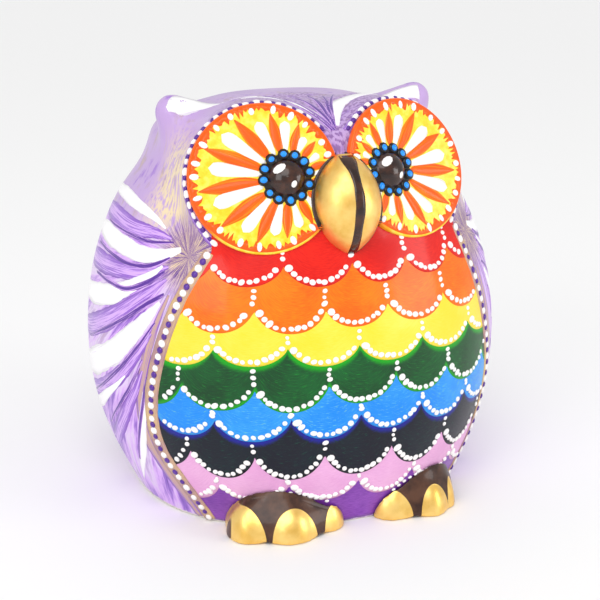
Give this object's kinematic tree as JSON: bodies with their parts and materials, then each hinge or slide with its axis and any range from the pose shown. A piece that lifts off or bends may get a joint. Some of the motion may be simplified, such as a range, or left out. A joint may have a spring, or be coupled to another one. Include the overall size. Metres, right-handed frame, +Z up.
{
  "type": "owl coin bank",
  "caption": "Hollow owl-shaped ceramic coin bank with raised eye discs, beak and toes, a coin slot in the back of the head and a soft stopper in the base.",
  "frame": {"origin": "on the table, under the middle of the bank's box", "axes": "+Z up out of the head, -Y out of the owl's face, +X to the owl's own left"},
  "size_m": [0.1561, 0.1443, 0.15],
  "materials": {
    "painted_body": "hand-painted acrylic under clear varnish",
    "eye_paint": "hand-painted acrylic under clear varnish",
    "gold_paint": "polished gold paint",
    "dark_gloss": "dark brown gloss paint",
    "stopper_rubber": "matt moulded rubber"
  },
  "bodies": {
    "bank": {"body_shell": "painted_body", "beak": "gold_paint", "eye_disc_left": "eye_paint", "eye_disc_right": "eye_paint", "pupil_left": "dark_gloss", "pupil_right": "dark_gloss", "foot_left": "dark_gloss", "foot_right": "dark_gloss", "toe_left_inner": "gold_paint", "toe_left_middle": "gold_paint", "toe_left_outer": "gold_paint", "toe_right_inner": "gold_paint", "toe_right_middle": "gold_paint", "toe_right_outer": "gold_paint"},
    "plug": {"stopper": "stopper_rubber"}
  },
  "joints": [
    {"name": "stopper_pull", "type": "slide", "parent": "bank", "child": "plug", "axis": [0, 0, -1], "range_m": [0, 0.03]}
  ]
}
